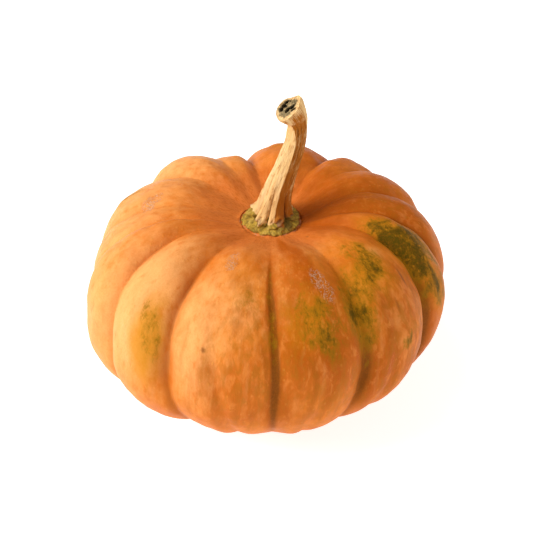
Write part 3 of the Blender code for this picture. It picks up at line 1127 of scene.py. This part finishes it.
ORANGE = (0.73, 0.215, 0.024)
DEEP_ORANGE = (0.6, 0.142, 0.012)
PALE_AND_SHEEN_ORANGE = (0.87, 0.4, 0.135)
DUSKY_AND_SHADE_ORANGE = (0.43, 0.082, 0.003)
STEM_END_ORANGE = (0.64, 0.178, 0.04)
FURROW_SHADE_BROWN = (0.42, 0.1, 0.006)
FURROW_SHADOW_DARK = (0.19, 0.055, 0.003)
STREAK_BROWN = (0.42, 0.105, 0.006)
OLIVE_BROWN = (0.4, 0.135, 0.007)
ISLAND_ORANGE = (0.78, 0.27, 0.055)
OLIVE_YELLOW = (0.58, 0.23, 0.008)
OLIVE = (0.31, 0.15, 0.005)
DARK_GREEN = (0.072, 0.053, 0.003)
SCAR_GREY = (0.8, 0.54, 0.4)
NICK_BROWN = (0.18, 0.06, 0.015)
GROUND_CREAM = (0.78, 0.43, 0.13)
SPECK_YELLOW = (0.86, 0.4, 0.07)
WAX_TINT = (1.0, 0.78, 0.52)
WAX_SHINE = 0.07

# Each pattern: stretch along the grain, scale, detail, roughness and distortion
RIND_PATTERNS = {
    "broad": (1.0, 22.0, 5.0, 0.55, 0.0),
    "patchy": (0.5, 75.0, 4.0, 0.6, 0.0),
    "streaky": (0.13, 125.0, 4.0, 0.55, 0.0),
    "blotchy": (0.4, 165.0, 5.0, 0.6, 0.5),
    "mottle": (0.45, 170.0, 5.0, 0.62, 0.0),
    "net": (0.5, 190.0, 3.0, 0.6, 0.7),
    "veins": (0.32, 300.0, 6.0, 0.7, 0.6),
    "cork": (0.45, 400.0, 3.0, 0.6, 0.7),
    "flakes": (1.0, 420.0, 6.0, 0.7, 0.0),
    "rays": (0.07, 480.0, 4.0, 0.55, 0.0),
    "fine": (0.6, 900.0, 4.0, 0.55, 0.0),
}
NET_WIDTH = 0.045
CORK_WIDTH = 0.07
# Pale specks: scale and stretch of their cells, a speck's rim and core, which cells have one,
# and how far up the stem end they go
SPECK_SCALE = 380.0
SPECK_STRETCH = 0.55
SPECK_RIM = 0.42
SPECK_CORE = 0.12
SPECK_CHOICE = (0.5, 0.95)
SPECKS_AT_STEM_END = (0.75, 0.1)
# How a layer gets ragged: patterns with their strengths, and the values where it fades in
RIND_EDGES = {
    "pale_and_sheen": ({"mottle": 0.9}, None),
    "dusky_and_shade": ({"mottle": -0.8}, None),
    "olive": ({"patchy": 1.0}, (0.02, 0.35)),
    "green": ({"veins": 2.0, "patchy": 1.6, "blotchy": 1.8}, (0.04, 0.3)),
    "scar": ({"flakes": 1.2}, (0.15, 0.8)),
    "fringe": ({"flakes": 1.2}, (0.02, 0.3)),
    "contact": ({"mottle": 1.6, "broad": 1.2}, (0.02, 0.4)),
    "blossom": ({"flakes": 0.8}, (0.02, 0.2)),
}
# How much one mask adds to another, and how uneven the furrows' painted shade and painted shadow
# are
GREEN_IN_SPECKS = -0.35
GREEN_IN_NET = 0.14
SCAR_IN_CORK = 0.7
STREAKED_EVERYWHERE = 0.16
CREASE_SHADE_IN_FURROW = 0.45
FURROW_SHADE_UNEVEN = 0.5
FURROW_SHADE_ON_PALE = (0.1, 0.9, 1.0, 0.45)
FURROW_SHADOW_UNEVEN = 0.4
# The coats in their order: mask, its values where the coat starts and where it is fullest, how
# much the coat covers there, its colour, and another mask that limits it, if any
RIND_COATS = (
    ("broad", 0.36, 0.66, 1.0, DEEP_ORANGE),
    # pale_and_sheen: partly paler rind, partly a painted highlight and sheen on the lit left side
    ("pale_and_sheen", 0.05, 1.05, 0.95, PALE_AND_SHEEN_ORANGE),
    ("stem_end", 0.0, 1.0, 0.8, STEM_END_ORANGE),
    # dusky_and_shade: partly deeper rind, partly painted shade, the stem's painted shadow among it
    ("dusky_and_shade", 0.05, 1.1, 0.9, DUSKY_AND_SHADE_ORANGE),
    ("rays", 0.46, 0.68, 0.55, DUSKY_AND_SHADE_ORANGE, "stem_end"),
    ("streaky", 0.46, 0.64, 0.72, STREAK_BROWN, "streaked"),
    ("streaky", 0.46, 0.3, 0.22, PALE_AND_SHEEN_ORANGE, "streaked"),
    ("blotchy", 0.45, 0.63, 0.52, OLIVE_BROWN, "streaked"),
    ("blotchy", 0.48, 0.34, 0.45, ISLAND_ORANGE, "streaked"),
    ("mottle", 0.44, 0.3, 0.3, DEEP_ORANGE),
    ("spots", SPECK_RIM, SPECK_CORE, 0.16, SPECK_YELLOW, "speckled"),
    # painted shade in the furrows and creases, and the painted shadow lines in them
    ("furrow", 0.1, 1.25, 0.88, FURROW_SHADE_BROWN),
    ("furrow_shadow", 0.12, 1.0, 0.85, FURROW_SHADOW_DARK),
    ("olive", 0.05, 1.0, 0.8, OLIVE_YELLOW),
    ("green", 0.16, 0.9, 0.78, OLIVE),
    ("green", 0.6, 1.4, 0.92, DARK_GREEN),
    ("scar", 0.1, 0.8, 0.62, SCAR_GREY),
    ("fringe", 0.45, 1.15, 0.42, SCAR_GREY),
    ("scratch", 0.15, 0.75, 0.8, NICK_BROWN),
    ("contact", 0.1, 1.1, 0.75, GROUND_CREAM),
    ("flakes", 0.4, 0.6, 0.75, SCAR_GREY, "blossom_ring"),
    ("blossom", 0.15, 0.65, 0.95, NICK_BROWN),
    ("fine", 0.4, 0.7, 0.16, DEEP_ORANGE),
)
# Roughness follows the mottle: its two values, and the roughness at each
RIND_ROUGHNESS = (0.25, 0.75, 0.4, 0.56)
SCAR_ROUGHNESS = 0.35
BLOSSOM_ROUGHNESS = 0.25
RIND_BUMPS = {"fine": 0.3, "mottle": 0.6, "streaky": 0.25, "specks": 0.22}
SCAR_BUMP = 1.4
# Height in metres and strength
RIND_BUMP_SIZE = (0.0007, 0.8)


def add_specks(paint, masks):
    """Small pale spots on some of the cells of a net, away from the stem."""
    inputs = {"Vector": paint.grain(SPECK_STRETCH), "Scale": SPECK_SCALE}
    dice = paint.node("ShaderNodeTexVoronoi", inputs, "Color")
    dice = paint.node("ShaderNodeSeparateColor", {0: dice})
    away = paint.ramp(masks["stem_end"], *SPECKS_AT_STEM_END)
    masks["speckled"] = paint.times(paint.ramp(dice, *SPECK_CHOICE), away)
    masks["spots"] = paint.node("ShaderNodeTexVoronoi", inputs, "Distance")
    spots = paint.ramp(masks["spots"], SPECK_RIM, SPECK_CORE)
    masks["specks"] = paint.times(spots, masks["speckled"])


def add_furrows(paint, masks):
    """The painted shade in the furrows and creases, less on the lit side, and painted shadow lines
    where the dusky and shade marks are too.
    """
    brown_and_shade = paint.plus(paint.layer("furrow"), paint.layer("crease"), CREASE_SHADE_IN_FURROW)
    brown_and_shade = paint.uneven(brown_and_shade, masks["mottle"], FURROW_SHADE_UNEVEN)
    masks["furrow"] = paint.times(brown_and_shade, paint.ramp(paint.layer("pale_and_sheen"), *FURROW_SHADE_ON_PALE))
    dark = paint.times(paint.layer("furrow"), paint.layer("dusky_and_shade"))
    masks["furrow_shadow"] = paint.uneven(dark, masks["mottle"], FURROW_SHADOW_UNEVEN)


def rind_masks(paint):
    """The patterns and ragged layers that the rind's coats follow."""
    masks = paint.patterns(RIND_PATTERNS)
    for name in ("stem_end", "scratch", "blossom_ring"):
        masks[name] = paint.layer(name)
    masks["streaked"] = paint.math("ADD", paint.layer("streaked"), STREAKED_EVERYWHERE, clamp=True)
    add_specks(paint, masks)
    add_furrows(paint, masks)
    green = paint.plus(paint.layer("green"), masks["specks"], GREEN_IN_SPECKS)
    green = paint.plus(green, paint.lines(masks["net"], NET_WIDTH), GREEN_IN_NET)
    scar = paint.times(paint.lines(masks["cork"], CORK_WIDTH), SCAR_IN_CORK)
    starts = {"green": green, "scar": scar}
    for name, row in RIND_EDGES.items():
        masks[name] = paint.torn(name, masks, row, starts.get(name))
    return masks


def rind_material():
    paint = Paint("rind_skin")
    masks = rind_masks(paint)
    colour, covers = paint.coats(ORANGE, masks, RIND_COATS)
    rough = paint.ramp(masks["mottle"], *RIND_ROUGHNESS)
    rough = paint.plus(rough, covers["scar"], SCAR_ROUGHNESS)
    blossom = paint.layer("blossom")
    rough = paint.math("MULTIPLY_ADD", blossom, BLOSSOM_ROUGHNESS, rough, clamp=True)
    height = paint.weighted(masks, RIND_BUMPS)
    height = paint.plus(height, covers["scar"], paint.times(masks["flakes"], SCAR_BUMP))
    surface = {
        "Base Color": colour,
        "Roughness": rough,
        "Specular IOR Level": WAX_SHINE,
        "Specular Tint": WAX_TINT,
        "Normal": paint.bump(height, *RIND_BUMP_SIZE),
    }
    return paint.finish(surface)


# ---- the stem's material

TAN = (0.76, 0.47, 0.19)
PALE_TAN = (0.86, 0.61, 0.3)
BARK_BROWN_AND_SHADE = (0.4, 0.12, 0.003)
FISSURE_AND_SHADE_BROWN = (0.13, 0.055, 0.016)
ROOT_GREY = (0.3, 0.19, 0.11)
COLLAR_OLIVE = (0.5, 0.315, 0.04)
COLLAR_DARK = (0.2, 0.125, 0.02)
COLLAR_SHADE = (0.11, 0.065, 0.01)
COLLAR_PALE = (0.6, 0.4, 0.085)
PITH_GREY = (0.25, 0.195, 0.1)
PIT_SHADE_BLACK = (0.024, 0.018, 0.01)
RIM_TAN = (0.74, 0.48, 0.22)
BARK_SHINE = 0.14

STEM_PATTERNS = {
    "fibres": (0.055, 1300.0, 5.0, 0.6, 0.0),
    "bands": (0.1, 330.0, 4.0, 0.6, 0.0),
    "mottle": (0.45, 380.0, 6.0, 0.66, 0.0),
    "flakes": (1.0, 900.0, 5.0, 0.7, 0.0),
}
DARK_FIBRES_UNEVEN = 1.0
STEM_EDGES = {
    "brown_and_shade": ({"dark_fibres": 1.8}, None),
    "fissure": ({"fibres": 0.7}, None),
    "root_end": ({"flakes": 2.0}, None),
    "collar": ({"mottle": 0.6}, None),
    "low_edge_shade": ({"flakes": 0.7}, None),
    "hole": ({"flakes": 1.5}, None),
}
# Coats in the same terms as the rind's
BARK_COATS = (
    ("bands", 0.34, 0.62, 1.0, TAN),
    ("dark_fibres", 0.46, 0.78, 0.55, BARK_BROWN_AND_SHADE),
    ("mottle", 0.6, 0.74, 0.45, BARK_BROWN_AND_SHADE),
    # brown_and_shade: partly browner bark, partly painted shade
    ("brown_and_shade", 0.15, 0.85, 0.96, BARK_BROWN_AND_SHADE),
    ("fissure", 0.18, 0.85, 0.92, FISSURE_AND_SHADE_BROWN),
    ("root_end", 0.55, 1.2, 0.8, ROOT_GREY),
    # hollow: painted shade in the hollows by the collar
    ("hollow", 0.4, 1.2, 0.6, FISSURE_AND_SHADE_BROWN),
)
COLLAR_COATS = (
    ("flakes", 0.35, 0.65, 1.0, COLLAR_DARK),
    ("mottle", 0.5, 0.36, 0.6, COLLAR_PALE),
    # low_edge_shade and hollow: painted shade at the collar's foot and in its hollows
    ("low_edge_shade", 0.55, 1.15, 0.4, COLLAR_SHADE),
    ("hollow", 0.2, 0.9, 0.85, COLLAR_SHADE),
)
PITH_COATS = (("flakes", 0.46, 0.72, 1.0, RIM_TAN),)
RIM_COATS = (("mottle", 0.36, 0.66, 1.0, RIM_TAN),)
# painted shade in the cut end's holes, darker where they are deeper
PIT_SHADE_COATS = (("hole", 0.05, 0.85, 0.95, PIT_SHADE_BLACK),)
COLLAR_SHARPNESS = (0.25, 0.75)
BARK_ROUGHNESS = (0.3, 0.7, 0.62, 0.86)
STEM_BUMPS = {"fibres": 0.9, "mottle": 0.7}
FLAKE_BUMP = 0.25
COLLAR_FLAKE_BUMP = 0.8
STEM_BUMP_SIZE = (0.0006, 0.9)


def stem_masks(paint):
    """The patterns and ragged layers that the stem's coats follow."""
    masks = paint.patterns(STEM_PATTERNS)
    masks["hollow"] = paint.layer("hollow")
    masks["dark_fibres"] = paint.uneven(masks["fibres"], masks["mottle"], DARK_FIBRES_UNEVEN)
    for name, row in STEM_EDGES.items():
        masks[name] = paint.torn(name, masks, row)
    return masks


def stem_material():
    paint = Paint("stem_bark")
    masks = stem_masks(paint)
    collar = paint.ramp(masks["collar"], *COLLAR_SHARPNESS)
    bark = paint.coats(PALE_TAN, masks, BARK_COATS)[0]
    olive = paint.coats(COLLAR_OLIVE, masks, COLLAR_COATS)[0]
    pith = paint.coats(PITH_GREY, masks, PITH_COATS)[0]
    rim = paint.coats(PALE_TAN, masks, RIM_COATS)[0]
    face = paint.coats(paint.mix(paint.layer("pith"), rim, pith), masks, PIT_SHADE_COATS)[0]
    colour = paint.mix(paint.layer("cut_end"), paint.mix(collar, bark, olive), face)
    height = paint.weighted(masks, STEM_BUMPS)
    flakes = paint.plus(FLAKE_BUMP, collar, COLLAR_FLAKE_BUMP)
    height = paint.plus(height, masks["flakes"], flakes)
    surface = {
        "Base Color": colour,
        "Roughness": paint.ramp(masks["mottle"], *BARK_ROUGHNESS),
        "Specular IOR Level": BARK_SHINE,
        "Normal": paint.bump(height, *STEM_BUMP_SIZE),
    }
    return paint.finish(surface)


# ---- the floor's material

FLOOR_GREYS = (0.7, 0.7, 0.7), (0.715, 0.712, 0.71)
# Scale, detail, roughness and distortion
FLOOR_PATTERN = (3.0, 2.0, 0.55, 0.0)
FLOOR_ROUGHNESS = 0.9
FLOOR_SHINE = 0.1


def floor_material():
    paint = Paint("studio_white")
    where = paint.node("ShaderNodeTexCoord", {}, "Object")
    tone = paint.noise(where, *FLOOR_PATTERN)
    surface = {
        "Base Color": paint.mix(tone, *FLOOR_GREYS),
        "Roughness": FLOOR_ROUGHNESS,
        "Specular IOR Level": FLOOR_SHINE,
        "Emission Color": GLOW_COLOUR,
        "Emission Strength": FLOOR_GLOW,
    }
    return paint.finish(surface)


# ---- stage


def add_floor():
    mesh = bpy.data.meshes.new("floor")
    half = FLOOR_SIZE / 2
    corners = [(-half, -half, 0.0), (half, -half, 0.0), (half, half, 0.0), (-half, half, 0.0)]
    mesh.from_pydata(corners, [], [(0, 1, 2, 3)])
    floor = bpy.data.objects.new("floor", mesh)
    floor.data.materials.append(floor_material())
    bpy.context.scene.collection.objects.link(floor)


def look_at(thing, target):
    thing.rotation_euler = (Vector(target) - thing.location).to_track_quat("-Z", "Y").to_euler()


def add_area_light(name, azimuth, elevation, distance, size, power, colour):
    """A square soft light in the direction that LIGHTS gives, aimed at the fruit."""
    light = bpy.data.lights.new(name, "AREA")
    light.shape = "SQUARE"
    light.size = size
    light.energy = power
    light.color = colour
    made = bpy.data.objects.new(name, light)
    turn, rise = math.radians(azimuth), math.radians(elevation)
    made.location = (
        distance * math.sin(turn) * math.cos(rise),
        -distance * math.cos(turn) * math.cos(rise),
        distance * math.sin(rise),
    )
    bpy.context.scene.collection.objects.link(made)
    look_at(made, (0.0, 0.0, BELLY_DROP))


def add_world():
    world = bpy.data.worlds.new("studio")
    world.use_nodes = True
    background = world.node_tree.nodes["Background"]
    background.inputs["Color"].default_value = WORLD_COLOUR
    background.inputs["Strength"].default_value = WORLD_STRENGTH
    bpy.context.scene.world = world


def add_camera():
    camera = bpy.data.cameras.new("camera")
    camera.lens = CAMERA_LENS
    camera.sensor_width = SENSOR
    camera.shift_x = SHIFT_X
    camera.shift_y = SHIFT_Y
    made = bpy.data.objects.new("camera", camera)
    rise = math.radians(CAMERA_ELEVATION)
    target = Vector((*CENTRING[:2], BELLY_DROP - FLOOR_TRIM))
    made.location = target + CAMERA_DISTANCE * Vector((0.0, -math.cos(rise), math.sin(rise)))
    bpy.context.scene.collection.objects.link(made)
    look_at(made, target)
    bpy.context.scene.camera = made


def add_piece(piece, node, material):
    piece.data.materials.append(material)
    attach(piece, "root")
    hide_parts(node)


add_piece(make_rind(), "fruit", rind_material())
add_piece(make_stem(), "stem", stem_material())
add_floor()
for light_name, settings in LIGHTS.items():
    add_area_light(light_name, *settings)
add_world()
add_camera()
bpy.context.scene.view_settings.view_transform = "Standard"
